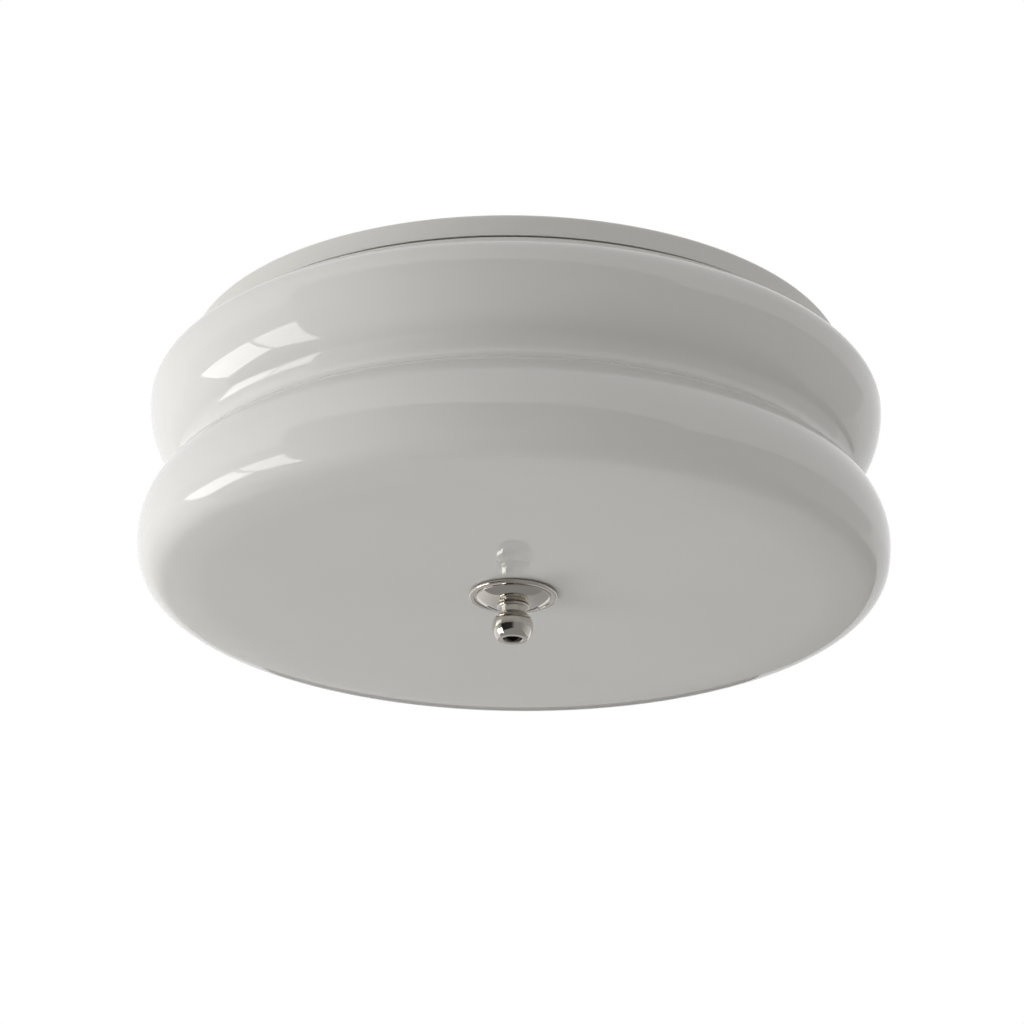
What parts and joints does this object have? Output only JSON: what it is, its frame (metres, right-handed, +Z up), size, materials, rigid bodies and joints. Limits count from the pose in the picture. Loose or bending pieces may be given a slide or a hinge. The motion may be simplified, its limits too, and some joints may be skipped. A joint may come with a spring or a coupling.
{
  "type": "flush mount ceiling light",
  "caption": "Round flush mount ceiling light: double-bulge opal glass shade hung from a white pan by a nickel ball finial, with screw-cap bulbs inside.",
  "frame": {"origin": "centre of the mounting bar's top face, in the plane of the ceiling, on the light's axis", "axes": "+Z up into the ceiling, the light hangs towards -Z, X along the mounting bar, the cable inlet lies towards -Y"},
  "size_m": [0.3999, 0.4, 0.1559],
  "materials": {
    "opal_glass": "glossy white opal glass, blown, opaque when unlit",
    "white_enamel": "semi-gloss white enamel on sheet steel",
    "seal_foam": "closed-cell silicone foam",
    "zinc_steel": "bright zinc-plated steel",
    "zinc_sheet": "zinc-plated sheet steel",
    "nickel_small": "nickel-plated",
    "brass": "bare brass",
    "black_rubber": "matt rubber",
    "terminal_plastic": "moulded polyamide",
    "holder_plastic": "moulded white thermoset",
    "bulb_diffuser": "frosted white diffuser",
    "bulb_housing": "moulded white plastic",
    "bulb_cap_metal": "nickel-plated screw cap",
    "bulb_insulator": "black glass insulator",
    "polished_nickel": "polished nickel plate on brass",
    "brown_sleeve": "brown silicone wire sleeve",
    "blue_sleeve": "blue silicone wire sleeve",
    "tinned_copper": "tinned copper ring lug",
    "earth_sleeve": "green and yellow wire sleeve"
  },
  "bodies": {
    "root": {"bar_studs": "zinc_steel", "block_screws": "zinc_steel", "cable_grommet": "black_rubber", "cap_nuts": "nickel_small", "ceiling_pan": "white_enamel", "centre_contacts": "brass", "centre_tube": "zinc_steel", "earth_lead": "earth_sleeve", "earth_lug": "tinned_copper", "earth_screw": "brass", "earth_washer": "brass", "glass_seal": "seal_foam", "lampholder_1": "holder_plastic", "lampholder_2": "holder_plastic", "lampholder_3": "holder_plastic", "lampholder_bracket": "zinc_sheet", "lampholder_screws": "zinc_steel", "live_leads": "brown_sleeve", "lock_washers": "zinc_steel", "mounting_bar": "zinc_steel", "neutral_leads": "blue_sleeve", "screw_shells": "brass", "stud_washers": "zinc_steel", "terminal_block": "terminal_plastic", "terminal_screws": "zinc_steel", "tube_nuts": "zinc_steel"},
    "shade": {"glass_shade": "opal_glass"},
    "finial_cover": {"finial_plate": "polished_nickel", "finial_washer": "black_rubber"},
    "finial_nut": {"finial_knob": "polished_nickel"},
    "bulb_1": {"bulb_1_globe": "bulb_diffuser", "bulb_1_collar": "bulb_housing", "bulb_1_cap": "bulb_cap_metal", "bulb_1_insulator": "bulb_insulator", "bulb_1_tip": "brass"},
    "bulb_2": {"bulb_2_globe": "bulb_diffuser", "bulb_2_collar": "bulb_housing", "bulb_2_cap": "bulb_cap_metal", "bulb_2_insulator": "bulb_insulator", "bulb_2_tip": "brass"},
    "bulb_3": {"bulb_3_globe": "bulb_diffuser", "bulb_3_collar": "bulb_housing", "bulb_3_cap": "bulb_cap_metal", "bulb_3_insulator": "bulb_insulator", "bulb_3_tip": "brass"}
  },
  "joints": [
    {"name": "shade_drop", "type": "slide", "parent": "root", "child": "shade", "axis": [0, 0, -1], "range_m": [0, 0.25]},
    {"name": "finial_travel", "type": "slide", "parent": "shade", "child": "finial_cover", "axis": [0, 0, -1], "range_m": [0, 0.015]},
    {"name": "finial_turn", "type": "hinge", "parent": "finial_cover", "child": "finial_nut", "pos_m": [0, 0, -0.14], "axis": [0, 0, -1], "range_deg": [0, 5400]},
    {"name": "bulb_1_unscrew", "type": "slide", "parent": "root", "child": "bulb_1", "axis": [0, 1, 0], "range_m": [0, 0.026]},
    {"name": "bulb_2_unscrew", "type": "slide", "parent": "root", "child": "bulb_2", "axis": [-0.866, -0.5, 0], "range_m": [0, 0.026]},
    {"name": "bulb_3_unscrew", "type": "slide", "parent": "root", "child": "bulb_3", "axis": [0.866, -0.5, 0], "range_m": [0, 0.026]}
  ],
  "couplings": [
    {"joint": "finial_turn", "follows": "finial_travel", "rad_per_m": 6283.2}
  ]
}
